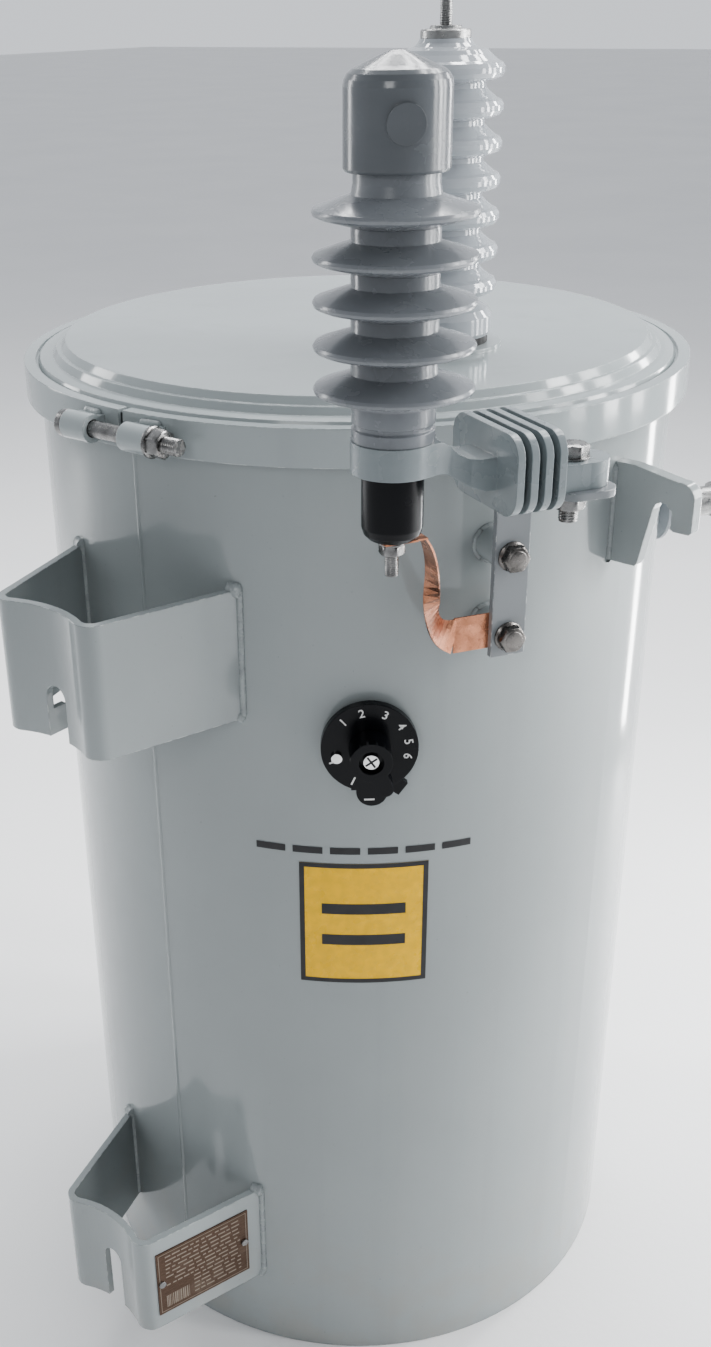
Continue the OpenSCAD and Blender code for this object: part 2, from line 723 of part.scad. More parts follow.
// the dial with its lower lobe and the stop tab beside it
module tap_dial() {
    color([0.06, 0.06, 0.06]) on_tap() difference() {
        union() {
            rod_x(dial_r, dial_x, dial_front);
            translate([0, 2, -dial_r - 1]) rod_x(12, dial_x, dial_front, 48);
            block([dial_x, -14, -dial_r + 1], [dial_front, 18, -dial_r + 14]);
            translate([0, 21, -dial_r + 4]) rotate([-35, 0, 0]) block([dial_x, -6, -6], [dial_front - 1, 6, 6]);
        }
        rod_x(5 + run_clear / 8, dial_x + 2, dial_front + 1, 48);
        translate([0, -25, -7]) rod_x(2.6, dial_x + 2, dial_front + 1, 24);
    }
}

// the turning handle: shaft, hub and finger
module tap_handle() {
    x0 = dial_front + run_clear;
    x1 = dial_front + knob_l;
    color([0.05, 0.05, 0.05]) on_tap() difference() {
        union() {
            rod_x(5, dial_x + 2.5, x0 + 1, 48);
            rod_x(knob_r, x0, x1);
            rotate([25, 0, 0]) union() {
                block([x0 + 8.5, -6.5, -finger_l + 6.5], [x1, 6.5, 0]);
                translate([0, 0, -finger_l + 6.5]) rod_x(6.5, x0 + 8.5, x1, 48);
            }
        }
        rod_x(9.5, x1 - 6, x1 + 1, 48);
    }
}

module tap_handle_screw() {
    x1 = dial_front + knob_l;
    color([0.78, 0.79, 0.8]) on_tap() rod_x(6, x1 - 6, x1 - 1.5, 48);
}

module tap_lock_screw() {
    color([0.78, 0.79, 0.8]) on_tap() translate([0, -25, -7]) union() {
        rod_x(2.5, dial_x + 3, dial_front + 1, 24);
        rod_x(4.2, dial_front, dial_front + 3, 32);
    }
}

// ---------------------------------------------------------------- low voltage bushings

lv_gasket_t = 5;
lv_foot = tank_r + lv_gasket_t;
lv_tip = lv_foot + lv_l;

module lv_gaskets() {
    color([0.1, 0.1, 0.1]) difference() {
        union() {
            for (i = [-1 : 1]) at(180 + i * lv_step, lv_z) rod_x(lv_r - 2, tank_r - 8, lv_foot);
        }
        tank_core();
    }
}

// one moulded bushing pointing out from the tank
module lv_bushing(az) {
    color([0.5, 0.52, 0.54]) at(az, lv_z) rotate([0, 90, 0]) rotate_extrude($fn = 48)
        polygon([[0, lv_foot], [lv_r, lv_foot], [lv_r, lv_foot + 9], [lv_r - 4, lv_foot + 13],
                 [lv_r - 7, lv_foot + 24], [lv_r + 1, lv_foot + 29], [lv_r + 1, lv_foot + 32],
                 [lv_r - 8, lv_foot + 36], [lv_r - 10, lv_foot + 46], [lv_r - 4, lv_foot + 50],
                 [lv_r - 4, lv_foot + 53], [lv_r - 12, lv_foot + 57], [lv_r - 13, lv_tip], [0, lv_tip]]);
}

module lv_bushing_left() {
    lv_bushing(180 + lv_step);
}

module lv_bushing_centre() {
    lv_bushing(180);
}

module lv_bushing_right() {
    lv_bushing(180 - lv_step);
}

// studs with a nut against each bushing
module lv_terminal_studs() {
    color([0.75, 0.76, 0.76]) union() {
        for (i = [-1 : 1]) at(180 + i * lv_step, lv_z) union() {
            rod_x(lv_stud_d / 2, lv_tip, lv_tip + 24);
            hex_x(24, lv_tip, lv_tip + 9);
        }
    }
}

// eye connectors on the studs, each with its clamp screw
module lv_connectors() {
    eye_x = lv_tip + 40;
    color([0.7, 0.71, 0.72]) union() {
        for (i = [-1 : 1]) at(180 + i * lv_step, lv_z) difference() {
            union() {
                rod_x(14, lv_tip + 9, lv_tip + 30, 48);
                translate([eye_x, 0, -13]) cylinder(r = eye_r + 7, h = 26, $fn = 48);
                rod_x(7, eye_x + eye_r + 4, eye_x + eye_r + 14, 32);
                hex_x(16, eye_x + eye_r + 13, eye_x + eye_r + 20);
            }
            rod_x(lv_stud_d / 2 + 0.05, lv_tip, lv_tip + 25, 48);
            translate([eye_x, 0, -14]) cylinder(r = eye_r, h = 28, $fn = 48);
        }
    }
}

// ---------------------------------------------------------------- ground pad

// the tapped pad near the bottom of the shell
module ground_pad() {
    color([0.75, 0.76, 0.76]) difference() {
        at(150, 60) rod_x(16, tank_r - 4, tank_r + 14);
        tank_core();
        at(150, 60) rod_x(6.35, tank_r + 2, tank_r + 15, 48);
    }
}

// ---------------------------------------------------------------- assembly

tank_wall();
tank_bottom();
core_and_oil();
vertical_seam();
cover();
cover_gasket();
clamp_band();
clamp_barrels();
clamp_bolt();
clamp_nut();
upper_hanger();
lower_hanger();
nameplate();
nameplate_rivets();
lifting_lug_right();
lifting_lug_left();
hv_gasket();
hv_bushing();
hv_terminal_cap();
hv_terminal_stud();
arrester_cap();
arrester_housing();
arrester_arm();
ground_lead_disconnector();
disconnector_stud();
arrester_bracket();
bracket_bosses();
bracket_bolts();
arrester_bolt();
ground_strap();
tap_gasket();
tap_dial();
tap_handle();
tap_handle_screw();
tap_lock_screw();
lv_gaskets();
lv_bushing_left();
lv_bushing_centre();
lv_bushing_right();
lv_terminal_studs();
lv_connectors();
ground_pad();
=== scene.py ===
"""Looks of the pole mounted transformer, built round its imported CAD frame. Lengths are in metres."""

import json
import math
import random

import bmesh
import bpy
from mathutils import Matrix, Vector


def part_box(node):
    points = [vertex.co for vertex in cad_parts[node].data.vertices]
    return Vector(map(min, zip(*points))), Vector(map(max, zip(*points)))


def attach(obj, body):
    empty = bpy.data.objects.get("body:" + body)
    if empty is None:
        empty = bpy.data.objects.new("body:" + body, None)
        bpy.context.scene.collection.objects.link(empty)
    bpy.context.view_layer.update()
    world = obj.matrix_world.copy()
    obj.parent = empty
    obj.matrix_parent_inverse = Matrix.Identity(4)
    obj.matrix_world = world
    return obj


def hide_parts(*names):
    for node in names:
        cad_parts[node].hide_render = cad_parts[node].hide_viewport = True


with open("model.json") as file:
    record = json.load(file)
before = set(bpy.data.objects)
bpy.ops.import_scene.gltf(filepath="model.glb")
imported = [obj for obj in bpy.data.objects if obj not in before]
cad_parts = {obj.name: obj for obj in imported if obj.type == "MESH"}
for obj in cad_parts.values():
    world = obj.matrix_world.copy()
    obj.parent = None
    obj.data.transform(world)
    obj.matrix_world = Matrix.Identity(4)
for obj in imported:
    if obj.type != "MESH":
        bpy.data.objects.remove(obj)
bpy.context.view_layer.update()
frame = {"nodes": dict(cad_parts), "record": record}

MM = 0.001
FIXED = "transformer"
TURNING = "tap_selector"

# Sizes that the frame's boxes don't give
WALL = 3 * MM  # the tank wall outside the bottom plate
HANGER_SPLAY = math.radians(16.7)  # how far a hanger's side walls lean out
HANGER_HALF = 40 * MM  # half the straight part of a hanger's front
HANGER_HORN = 14 * MM  # outer radius of a hanger's bends
HANGER_T = 6 * MM
LUG_HALF = 5.5 * MM  # half a lifting lug's thickness
BARREL_L = 25 * MM
BOSS_R = 13 * MM
GROUND_PAD_R = 16 * MM
DIAL_R = 37 * MM
DIAL_FACE = 276 * MM  # from the tank's axis to the dial's front
BOLT_R = 6.35 * MM  # half inch bolts
BOLT_FLATS = 18 * MM
FLANGE_R = 11 * MM
DECAL_PROUD = 0.35 * MM
DECAL_LAYER = 0.15 * MM

# ---------------------------------------------------------------- places, from the frame


def polar(x, y):
    """(distance from the tank's axis, azimuth in degrees from the pole side) of a point."""
    return math.hypot(x, y), math.degrees(math.atan2(x, -y))


def middle(node):
    low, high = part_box(node)
    return (low + high) / 2


def at(azimuth, radius=0.0, z=0.0):
    """A place on the tank: X points out, Y along the wall to the viewer's right, Z up."""
    a = math.radians(azimuth)
    out = Vector((math.sin(a), -math.cos(a), 0))
    side = Vector((math.cos(a), math.sin(a), 0))
    place = Matrix((out, side, (0, 0, 1))).transposed().to_4x4()
    place.translation = out * radius + Vector((0, 0, z))
    return place


UP_TO_OUT = Matrix(((0, 0, 1), (0, 1, 0), (-1, 0, 0))).to_4x4()  # turns local Z to local X
UP_TO_SIDE = Matrix(((1, 0, 0), (0, 0, 1), (0, -1, 0))).to_4x4()  # turns local Z to local Y

TANK_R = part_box("tank_bottom")[1].x + WALL
HV_AXIS = middle("hv_terminal_stud")
ARRESTER_AXIS = middle("disconnector_stud")
TAP_AZ = polar(*middle("tap_handle_screw")[:2])[1]
TAP_Z = middle("tap_handle_screw").z
STRAP_AZ = polar(*middle("bracket_bosses")[:2])[1]
CLAMP_AZ = polar(*middle("clamp_barrels")[:2])[1]
PANEL_AZ = 39.3
PANEL_Z = 492 * MM
DASHES_Z = 562 * MM

# ---------------------------------------------------------------- materials


class Nodes:
    """A material's node tree, with short calls for what is used often."""

    def __init__(self, name):
        self.material = bpy.data.materials.new(name)
        self.material.use_nodes = True
        self.tree = self.material.node_tree
        self.tree.nodes.clear()
        out = self.add("ShaderNodeOutputMaterial")
        self.shader = self.add("ShaderNodeBsdfPrincipled")
        self.link(self.shader.outputs["BSDF"], out.inputs["Surface"])
        self.point = self.add("ShaderNodeTexCoord").outputs["Object"]

    def add(self, kind, **values):
        node = self.tree.nodes.new(kind)
        for key, value in values.items():
            setattr(node, key, value)
        return node

    def link(self, source, target):
        self.tree.links.new(source, target)

    def stretched(self, x, y, z):
        """Object coordinates with each direction scaled by its own factor."""
        node = self.add("ShaderNodeMapping")
        node.inputs["Scale"].default_value = (x, y, z)
        self.link(self.point, node.inputs["Vector"])
        return node.outputs["Vector"]

    def noise(self, scale, detail=3.0, vector=None):
        node = self.add("ShaderNodeTexNoise")
        node.inputs["Scale"].default_value = scale
        node.inputs["Detail"].default_value = detail
        self.link(vector or self.point, node.inputs["Vector"])
        return node.outputs["Fac"]

    def between(self, value, low, high, at_low=0.0, at_high=1.0):
        """The value mapped smoothly from low..high to at_low..at_high, and held outside."""
        node = self.add("ShaderNodeMapRange", interpolation_type="SMOOTHSTEP")
        for socket, number in zip(node.inputs[1:5], (low, high, at_low, at_high)):
            socket.default_value = number
        self.link(value, node.inputs["Value"])
        return node.outputs["Result"]

    def mix(self, share, first, second):
        """A colour between two colours, each a tuple or another node's output."""
        node = self.add("ShaderNodeMix", data_type="RGBA")
        self.link(share, node.inputs["Factor"])
        for socket, colour in ((node.inputs[6], first), (node.inputs[7], second)):
            if isinstance(colour, tuple):
                socket.default_value = (*colour, 1)
            else:
                self.link(colour, socket)
        return node.outputs[2]

    def times(self, first, second):
        node = self.add("ShaderNodeMath", operation="MULTIPLY")
        self.link(first, node.inputs[0])
        if isinstance(second, float):
            node.inputs[1].default_value = second
        else:
            self.link(second, node.inputs[1])
        return node.outputs[0]

    def height(self):
        """Height over the ground, in metres."""
        node = self.add("ShaderNodeSeparateXYZ")
        self.link(self.point, node.inputs[0])
        return node.outputs["Z"]

    def rounded(self, radius):
        """The surface normal with edges rounded by a radius."""
        node = self.add("ShaderNodeBevel", samples=6)
        node.inputs["Radius"].default_value = radius
        return node.outputs["Normal"]

    def edge(self, normal):
        """0 on flats and 1 on edges, from a rounded normal."""
        geometry = self.add("ShaderNodeNewGeometry")
        dot = self.add("ShaderNodeVectorMath", operation="DOT_PRODUCT")
        self.link(normal, dot.inputs[0])
        self.link(geometry.outputs["Normal"], dot.inputs[1])
        return self.between(dot.outputs["Value"], 0.99, 0.86)

    def bump(self, height, distance, normal=None, strength=1.0):
        node = self.add("ShaderNodeBump")
        node.inputs["Strength"].default_value = strength
        node.inputs["Distance"].default_value = distance
        self.link(height, node.inputs["Height"])
        if normal is not None:
            self.link(normal, node.inputs["Normal"])
        return node.outputs["Normal"]

    def finish(self, colour, roughness, normal=None, **constants):
        self.link(colour, self.shader.inputs["Base Color"])
        self.link(roughness, self.shader.inputs["Roughness"])
        if normal is not None:
            self.link(normal, self.shader.inputs["Normal"])
        for key, value in constants.items():
            self.shader.inputs[key.replace("_", " ")].default_value = value
        return self.material


def scaled(colour, factor):
    return tuple(c * factor for c in colour)


def gloss_paint(name, colour, dust=(0.33, 0.31, 0.27), edge_wear_and_highlight=(0.62, 0.64, 0.64)):
    """Sprayed enamel on steel: orange peel, broad tone changes, dust low down, and pale edges that are part
    worn paint and part painted highlight.
    """
    n = Nodes(name)
    round_normal = n.rounded(1.3 * MM)
    tone = n.mix(n.between(n.noise(3.2, 4), 0.3, 0.7), scaled(colour, 0.94), scaled(colour, 1.05))
    streak = n.between(n.noise(1, 4, n.stretched(34, 34, 1.6)), 0.52, 0.8, 0.0, 0.22)
    low = n.times(n.between(n.height(), 0.22, 0.0), n.between(n.noise(26, 5), 0.4, 0.7))
    tone = n.mix(streak, tone, scaled(colour, 0.8))
    tone = n.mix(n.times(low, 0.35), tone, dust)
    specks = n.between(n.noise(420, 2), 0.74, 0.78, 0.0, 0.5)
    tone = n.mix(specks, tone, scaled(colour, 0.55))
    # Pale patches along the edges: part worn paint, part painted highlight.
    edge_wear_and_highlight_mask = n.times(n.edge(round_normal), n.between(n.noise(160, 3), 0.45, 0.62))
    tone = n.mix(edge_wear_and_highlight_mask, tone, edge_wear_and_highlight)
    rough = n.between(n.noise(9, 4), 0.3, 0.75, 0.09, 0.17)
    peel = n.bump(n.noise(260, 2), 0.05 * MM, round_normal, 0.5)
    wave = n.bump(n.noise(7, 2), 1.6 * MM, peel, 0.4)
    return n.finish(tone, rough, wave, Coat_Weight=0.25, Coat_Roughness=0.05,
                    Specular_IOR_Level=0.42)


def weld_paint(name, colour):
    """The same enamel on a weld bead, with its fine ripples and a little spatter."""
    n = Nodes(name)
    tone = n.mix(n.between(n.noise(70, 4), 0.3, 0.7), scaled(colour, 0.86), scaled(colour, 1.08))
    rough = n.between(n.noise(120, 3), 0.3, 0.7, 0.2, 0.42)
    return n.finish(tone, rough, n.bump(n.noise(500, 4), 0.3 * MM), Coat_Weight=0.2)


def porcelain(name, colour):
    """Glazed porcelain: slightly wavy glaze, iron specks."""
    n = Nodes(name)
    tone = n.mix(n.between(n.noise(18, 3), 0.3, 0.7), scaled(colour, 0.95), scaled(colour, 1.04))
    specks = n.between(n.noise(620, 2), 0.76, 0.79, 0.0, 0.6)
    tone = n.mix(specks, tone, (0.12, 0.1, 0.08))
    rough = n.between(n.noise(30, 3), 0.3, 0.7, 0.05, 0.12)
    wave = n.bump(n.noise(55, 2), 0.5 * MM, None, 0.35)
    return n.finish(tone, rough, wave, Coat_Weight=0.7, Coat_Roughness=0.03)


def moulded(name, colour, low=0.32, high=0.48, grain=0.08, coat=0.0, shine=0.5):
    """Moulded polymer: faint flow marks, fine grain, dust in the hollows of the grain."""
    n = Nodes(name)
    round_normal = n.rounded(0.9 * MM)
    flow = n.noise(2.5, 4, n.stretched(6, 6, 14))
    tone = n.mix(n.between(flow, 0.3, 0.7), scaled(colour, 0.93), scaled(colour, 1.06))
    dusty = n.between(n.noise(210, 5), 0.58, 0.75, 0.0, 0.22)
    tone = n.mix(dusty, tone, tuple(c * 1.15 + 0.012 for c in colour))
    rough = n.between(n.noise(45, 4), 0.3, 0.7, low, high)
    surface = n.bump(n.noise(900, 2), grain * MM, round_normal, 0.5)
    return n.finish(tone, rough, surface, Coat_Weight=coat, Coat_Roughness=0.12, Specular_IOR_Level=shine)


def rubber(name):
    """Black gasket rubber, dull and slightly bloomed."""
    n = Nodes(name)
    tone = n.mix(n.between(n.noise(90, 4), 0.35, 0.7), (0.012, 0.012, 0.013), (0.035, 0.034, 0.033))
    rough = n.between(n.noise(200, 3), 0.3, 0.7, 0.45, 0.7)
    return n.finish(tone, rough, n.bump(n.noise(700, 3), 0.15 * MM))


def metal(name, colour, low, high, scratch=0.05, tarnish=0.8):
    """Bare or plated metal: tarnish in patches, fine scratches, rounded edges."""
    n = Nodes(name)
    round_normal = n.rounded(0.7 * MM)
    patch = n.between(n.noise(75, 5), 0.35, 0.7)
    tone = n.mix(patch, colour, scaled(colour, tarnish))
    rough = n.between(n.noise(240, 4), 0.3, 0.7, low, high)
    marks = n.noise(60, 5, n.stretched(9, 9, 45))
    return n.finish(tone, rough, n.bump(marks, scratch * MM, round_normal), Metallic=1.0)


def copper(name):
    """Bare soft copper sheet: bright creases, darker handled patches."""
    n = Nodes(name)
    patch = n.between(n.noise(38, 5), 0.4, 0.68)
    tone = n.mix(patch, (0.62, 0.3, 0.19), (0.36, 0.165, 0.1))
    tone = n.mix(n.between(n.noise(170, 4), 0.6, 0.75, 0.0, 0.5), tone, (0.3, 0.14, 0.09))
    rough = n.between(n.noise(130, 4), 0.3, 0.7, 0.14, 0.34)
    folds = n.add("ShaderNodeTexVoronoi", feature="F1")
    folds.inputs["Scale"].default_value = 44
    n.link(n.stretched(1, 1, 0.6), folds.inputs["Vector"])
    crease = n.bump(folds.outputs["Distance"], 2.4 * MM, None, 0.45)
    scratches = n.bump(n.noise(70, 4, n.stretched(5, 5, 40)), 0.12 * MM, crease)
    return n.finish(tone, rough, scratches, Metallic=1.0)


def etched(name):
    """Brown etched plate, brushed along its length."""
    n = Nodes(name)
    brushed = n.noise(60, 4, n.stretched(3, 3, 60))
    tone = n.mix(n.between(brushed, 0.3, 0.7), (0.085, 0.052, 0.036), (0.14, 0.092, 0.066))
    tone = n.mix(n.between(n.noise(30, 4), 0.55, 0.75, 0.0, 0.4), tone, (0.2, 0.16, 0.125))
    rough = n.between(n.noise(160, 3), 0.3, 0.7, 0.3, 0.46)
    return n.finish(tone, rough, n.bump(brushed, 0.05 * MM), Metallic=0.75)


def ink(name, colour, rough=0.38):
    """Printed vinyl or paint: slightly uneven tone and gloss."""
    n = Nodes(name)
    tone = n.mix(n.between(n.noise(140, 4), 0.3, 0.7), scaled(colour, 0.86), colour)
    gloss = n.between(n.noise(80, 4), 0.3, 0.7, rough - 0.1, rough + 0.08)
    return n.finish(tone, gloss, n.bump(n.noise(420, 3), 0.04 * MM))


def pale_floor(name):
    """A plain pale studio floor, slightly uneven in tone and gloss."""
    n = Nodes(name)
    tone = n.mix(n.between(n.noise(1.3, 4), 0.3, 0.7), (0.86, 0.862, 0.865), (0.89, 0.89, 0.89))
    rough = n.between(n.noise(6, 4), 0.3, 0.7, 0.55, 0.7)
    return n.finish(tone, rough, n.bump(n.noise(80, 3), 0.3 * MM))


GREY = (0.31, 0.338, 0.34)
LIGHT_GREY = (0.35, 0.385, 0.39)

MATERIALS = {
    "tank_paint": gloss_paint("tank_paint", GREY),
    "cover_paint": gloss_paint("cover_paint", LIGHT_GREY),
    "oil_fill": moulded("oil_fill", (0.2, 0.13, 0.05)),
    "gasket_rubber": rubber("gasket_rubber"),
    "bright_steel": metal("bright_steel", (0.3, 0.297, 0.292), 0.18, 0.34, tarnish=0.55),
    "bolt_steel": metal("bolt_steel", (0.21, 0.2, 0.19), 0.2, 0.36, tarnish=0.5),
    "bracket_steel": gloss_paint("bracket_steel", (0.22, 0.235, 0.245)),
    "etched_plate": etched("etched_plate"),
    "porcelain": porcelain("porcelain", (0.4, 0.425, 0.45)),
    "tinned_metal": metal("tinned_metal", (0.38, 0.38, 0.375), 0.24, 0.4, tarnish=0.65),
    "cap_polymer": moulded("cap_polymer", (0.12, 0.13, 0.14), 0.16, 0.28, coat=0.25),
    "arrester_polymer": moulded("arrester_polymer", (0.185, 0.198, 0.212), 0.18, 0.32, coat=0.25),
    "arm_polymer": moulded("arm_polymer", (0.22, 0.25, 0.26), 0.2, 0.34, coat=0.2),
    "black_plastic": moulded("black_plastic", (0.004, 0.0045, 0.006), 0.14, 0.28, shine=0.28),
    "copper": copper("copper"),
    "chromed_screw": metal("chromed_screw", (0.82, 0.82, 0.81), 0.08, 0.18),
    "lv_polymer": moulded("lv_polymer", (0.28, 0.3, 0.32), 0.28, 0.42),
}
WELD = weld_paint("weld_paint", GREY)
# Black ink for the printed marks, also used as painted shade in the handle screw's slots.
BLACK_INK_AND_SLOT_SHADE = ink("black_ink_and_slot_shade", (0.018, 0.018, 0.02))
WHITE_INK = ink("white_ink", (0.78, 0.78, 0.76))
YELLOW_INK = ink("yellow_ink", (0.87, 0.52, 0.015), 0.3)
ETCHED_MARK = ink("etched_mark", (0.27, 0.225, 0.18), 0.42)

# ---------------------------------------------------------------- meshes


class Shape:
    """A mesh put together from turned bodies, tubes and boxes, in the row frame."""

    def __init__(self):
        self.points, self.faces = [], []

    def rings(self, rings, caps=True):
        """Joins rings of points, in order, each with as many points as the next."""
        base, sides = len(self.points), len(rings[0])
        for ring in rings:
            self.points.extend(ring)
        for i in range(len(rings) - 1):
            for j in range(sides):
                a = base + i * sides + j
                b = base + i * sides + (j + 1) % sides
                self.faces.append((a, b, b + sides, a + sides))
        if caps:
            last = base + (len(rings) - 1) * sides
            self.faces.append(tuple(range(base + sides - 1, base - 1, -1)))
            self.faces.append(tuple(range(last, last + sides)))

    def turned(self, place, outline, sides=48, flats=None):
        """A body turned round local Z. outline is (z, radius); flats cuts a hexagon that wide."""
        rings = []
        for z, radius in outline:
            ring = []
            for j in range(sides):
                a = 2 * math.pi * j / sides
                r = radius
                if flats:
                    r = min(r, flats / 2 / math.cos((a + math.pi / 6) % (math.pi / 3) - math.pi / 6))
                ring.append(place @ Vector((r * math.cos(a), r * math.sin(a), z)))
            rings.append(ring)
        self.rings(rings)

    def nut(self, place, z0, z1, flats):
        """A hexagon with both its faces chamfered."""
        corner, chamfer = flats / 2 * 1.16, flats * 0.07
        outline = [(z0, flats * 0.47), (z0 + chamfer * 0.5, flats * 0.53), (z0 + chamfer, corner),
                   (z1 - chamfer, corner), (z1 - chamfer * 0.5, flats * 0.53), (z1, flats * 0.47)]
        self.turned(place, outline, 72, flats)

    def thread(self, place, z0, z1, radius, pitch=1.8 * MM, sides=24):
        """A threaded rod: the radius follows a helix, and runs out at both ends."""
        steps = int((z1 - z0) / pitch * 6)
        depth = pitch * 0.42
        rings = []
        for i in range(steps + 1):
            z = z0 + (z1 - z0) * i / steps
            fade = min(1.0, i / 4, (steps - i) / 4)
            ring = []
            for j in range(sides):
                turn = (z / pitch - j / sides) % 1
                r = radius - depth * abs(2 * turn - 1) * fade - depth * 0.5 * (1 - fade)
                a = 2 * math.pi * j / sides
                ring.append(place @ Vector((r * math.cos(a), r * math.sin(a), z)))
            rings.append(ring)
        self.rings(rings)

    def bead(self, path, radius, seed, ripple=3.4 * MM, sides=10):
        """A weld bead along a path, with the ripples of its passes."""
        rng = random.Random(seed)
        points = resampled(path, 0.9 * MM)
        rings, swell, run = [], 1.0, 0.0
        for i, p in enumerate(points):
            along = (points[min(i + 1, len(points) - 1)] - points[max(i - 1, 0)]).normalized()
            first = along.orthogonal().normalized()
            second = along.cross(first)
            run += 0.9 * MM
            swell += rng.uniform(-0.025, 0.025) - (swell - 1) * 0.12
            end = min(1.0, 0.35 + i * 0.3, 0.35 + (len(points) - 1 - i) * 0.3)
            r = radius * swell * end * (0.95 + 0.07 * abs(math.sin(math.pi * run / ripple)))
            rings.append([p + (first * math.cos(a) + second * math.sin(a)) * r
                          for a in (2 * math.pi * j / sides for j in range(sides))])
        self.rings(rings)

    def box(self, place, low, high):
        """A box between two corners in a place's own directions."""
        base = len(self.points)
        for x in (low[0], high[0]):
            for y in (low[1], high[1]):
                for z in (low[2], high[2]):
                    self.points.append(place @ Vector((x, y, z)))
        for face in ((0, 1, 3, 2), (4, 6, 7, 5), (0, 4, 5, 1), (2, 3, 7, 6), (0, 2, 6, 4), (1, 5, 7, 3)):
            self.faces.append(tuple(base + i for i in face))

    def make(self, name, material, body=FIXED, replaced=(), smooth_below=40):
        mesh = bpy.data.meshes.new(name)
        mesh.from_pydata([tuple(p) for p in self.points], [], self.faces)
        return dressed(name, mesh, material, body, replaced, smooth_below)


def resampled(path, step):
    """Points along a path at about equal steps, with a path that turns its corners straight."""
    out = []
    for a, b in zip(path, path[1:]):
        count = max(1, round((b - a).length / step))
        out.extend(a.lerp(b, i / count) for i in range(count))
    return out + [path[-1]]


def dressed(name, mesh, material, body, replaced=(), smooth_below=40):
    """Makes the object of a mesh, with smooth shading under an angle, its material, slot and body."""
    work = bmesh.new()
    work.from_mesh(mesh)
    bmesh.ops.recalc_face_normals(work, faces=work.faces)
    work.to_mesh(mesh)
    work.free()
    mesh.shade_smooth()
    mesh.set_sharp_from_angle(angle=math.radians(smooth_below))
    mesh.materials.append(material)
    piece = bpy.data.objects.new(name, mesh)
    bpy.context.scene.collection.objects.link(piece)
    for node in replaced:
        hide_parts(node)
    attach(piece, body)
    return piece


def decal(name, azimuth, z, radius, outlines, material):
    """Flat outlines of (run along the wall, height), laid round the tank and cut every few millimetres."""
    work = bmesh.new()
    for outline in outlines:
        work.faces.new([work.verts.new((u, v, 0)) for u, v in outline])
    reach = max(abs(u) for outline in outlines for u, _ in outline)
    for i in range(-int(reach / (4 * MM)), int(reach / (4 * MM)) + 1):
        geometry = work.verts[:] + work.edges[:] + work.faces[:]
        bmesh.ops.bisect_plane(work, geom=geometry, plane_co=(i * 4 * MM, 0, 0), plane_no=(1, 0, 0))
    for v in work.verts:
        place = at(azimuth + math.degrees(v.co.x / TANK_R), radius, z + v.co.y)
        v.co = place.translation
    mesh = bpy.data.meshes.new(name)
    work.to_mesh(mesh)
    work.free()
    mesh.materials.append(material)
    piece = bpy.data.objects.new(name, mesh)
    bpy.context.scene.collection.objects.link(piece)
    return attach(piece, FIXED)


# ---------------------------------------------------------------- CAD nodes' finishes


def dress_cad():
    """Gives every CAD node its material by the slot that the record names."""
    slots = {part["node"]: part["material_slot"] for part in frame["record"]["subparts"]}
    for node, piece in frame["nodes"].items():
        piece.data.materials.clear()
        piece.data.materials.append(MATERIALS[slots[node]])


# ---------------------------------------------------------------- welds


def hanger_wall_lines(node):
    """Where a hanger's right side wall meets the tank: its outer and inner edge, in plan."""
    low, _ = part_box(node)
    horn = Vector((HANGER_HALF, low.y + HANGER_HORN))
    along = Vector((math.sin(HANGER_SPLAY), math.cos(HANGER_SPLAY)))
    across = Vector((math.cos(HANGER_SPLAY), -math.sin(HANGER_SPLAY)))
    found = []
    for reach in (HANGER_HORN, HANGER_HORN - HANGER_T):
        start = horn + across * reach
        b = start.dot(along)
        run = -b - math.sqrt(b * b - start.dot(start) + TANK_R**2)
        found.append(start + along * run)
    return found


def hanger_welds():
    """A bead round each side wall of a hanger, with a larger blob at its top and its foot."""
    for node in ("upper_hanger", "lower_hanger"):
        low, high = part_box(node)
        outer, inner = hanger_wall_lines(node)
        shape = Shape()
        for side in (1, -1):
            o, i = Vector((outer.x * side, outer.y)), Vector((inner.x * side, inner.y))
            top, bottom = high.z - 0.4 * MM, low.z + 1.5 * MM
            path = [Vector((*o, bottom)), Vector((*o, top)), Vector((*i, top)), Vector((*i, bottom))]
            shape.bead(path, 2.9 * MM, node + str(side))
            shape.bead([Vector((*o.lerp(i, -0.35), top)), Vector((*o.lerp(i, 1.4), top))], 6.4 * MM, 3)
            shape.bead([Vector((*o.lerp(i, -0.2), bottom)), Vector((*o.lerp(i, 0.6), bottom))], 5 * MM, 5)
        shape.make("weld_" + node, WELD)


def lug_welds():
    """A bead down one side of each lug's root, under it and up the other side."""
    for node in ("lifting_lug_right", "lifting_lug_left"):
        low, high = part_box(node)
        azimuth = polar(*middle(node)[:2])[1]
        edge = math.sqrt(TANK_R**2 - LUG_HALF**2)
        place = at(azimuth)
        top = high.z - 2 * MM
        corners = ((-LUG_HALF, top), (-LUG_HALF, low.z), (LUG_HALF, low.z), (LUG_HALF, top))
        shape = Shape()
        shape.bead([place @ Vector((edge, y, z)) for y, z in corners], 2.8 * MM, node)
        shape.make("weld_" + node, WELD)


def ring_weld(name, azimuth, z, radius, bead):
    """A bead round a boss that stands on the tank."""
    place, path = at(azimuth), []
    for i in range(49):
        a = 2 * math.pi * i / 48
        y = radius * math.cos(a)
        path.append(place @ Vector((math.sqrt(TANK_R**2 - y * y), y, z + radius * math.sin(a))))
    shape = Shape()
    shape.bead(path, bead, name)
    shape.make(name, WELD)


def seam_ridge():
    """The tank's upright seam: a low smooth ridge, mostly sunk in the wall."""
    low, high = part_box("vertical_seam")
    sunk, radius = 2.1 * MM, 2.9 * MM
    place = Matrix.Translation((0, sunk - TANK_R, 0))
    shape = Shape()
    shape.turned(place, [(low.z, radius * 0.6), (low.z + 3 * MM, radius), (high.z, radius)])
    shape.make("seam_ridge", MATERIALS["tank_paint"], replaced=["vertical_seam"])


